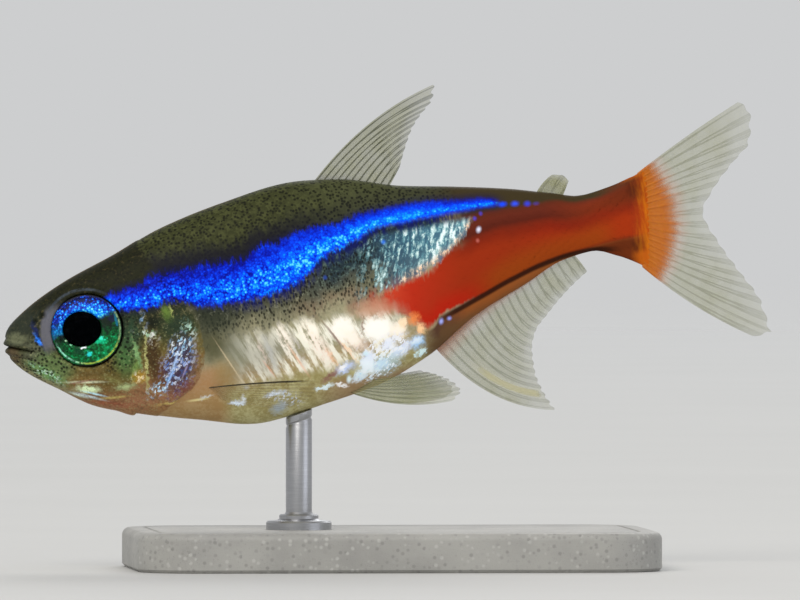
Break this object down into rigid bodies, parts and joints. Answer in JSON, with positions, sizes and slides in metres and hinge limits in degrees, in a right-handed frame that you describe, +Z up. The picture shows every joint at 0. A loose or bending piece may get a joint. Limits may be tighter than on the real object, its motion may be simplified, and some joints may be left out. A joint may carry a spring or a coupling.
{
  "type": "neon tetra fish display model",
  "caption": "Life-size still model of a neon tetra, swimming slightly head down, with spread fins, held by a slim rod over a small flat base",
  "frame": {"origin": "centre of the bounding box on the underside of the base", "axes": "+X from the fish's head to its tail, +Y to the fish's right, +Z up"},
  "size_m": [0.0355, 0.015, 0.022],
  "materials": {
    "head": "moist, dark olive-brown skin with gold-green cheeks",
    "trunk": "fine scales, an electric blue stripe over a silvery flank",
    "tail": "fine scales, deep red flank",
    "gill_cover": "silvery gold-green, glossy",
    "eye": "clear wet dome, blue and green iris",
    "fin": "thin clear membrane with fine rays",
    "stand_base": "satin pale grey",
    "stand_rod": "fine satin steel"
  },
  "bodies": {
    "root": {"head": "head", "trunk": "trunk", "tail": "tail", "gill_cover_left": "gill_cover", "gill_cover_right": "gill_cover", "eye_left": "eye", "eye_right": "eye", "fin_dorsal": "fin", "fin_adipose": "fin", "fin_anal": "fin", "fin_caudal_upper": "fin", "fin_caudal_lower": "fin", "fin_pectoral_left": "fin", "fin_pectoral_right": "fin", "fin_pelvic_left": "fin", "fin_pelvic_right": "fin", "stand_base": "stand_base", "stand_rod": "stand_rod"}
  },
  "joints": []
}
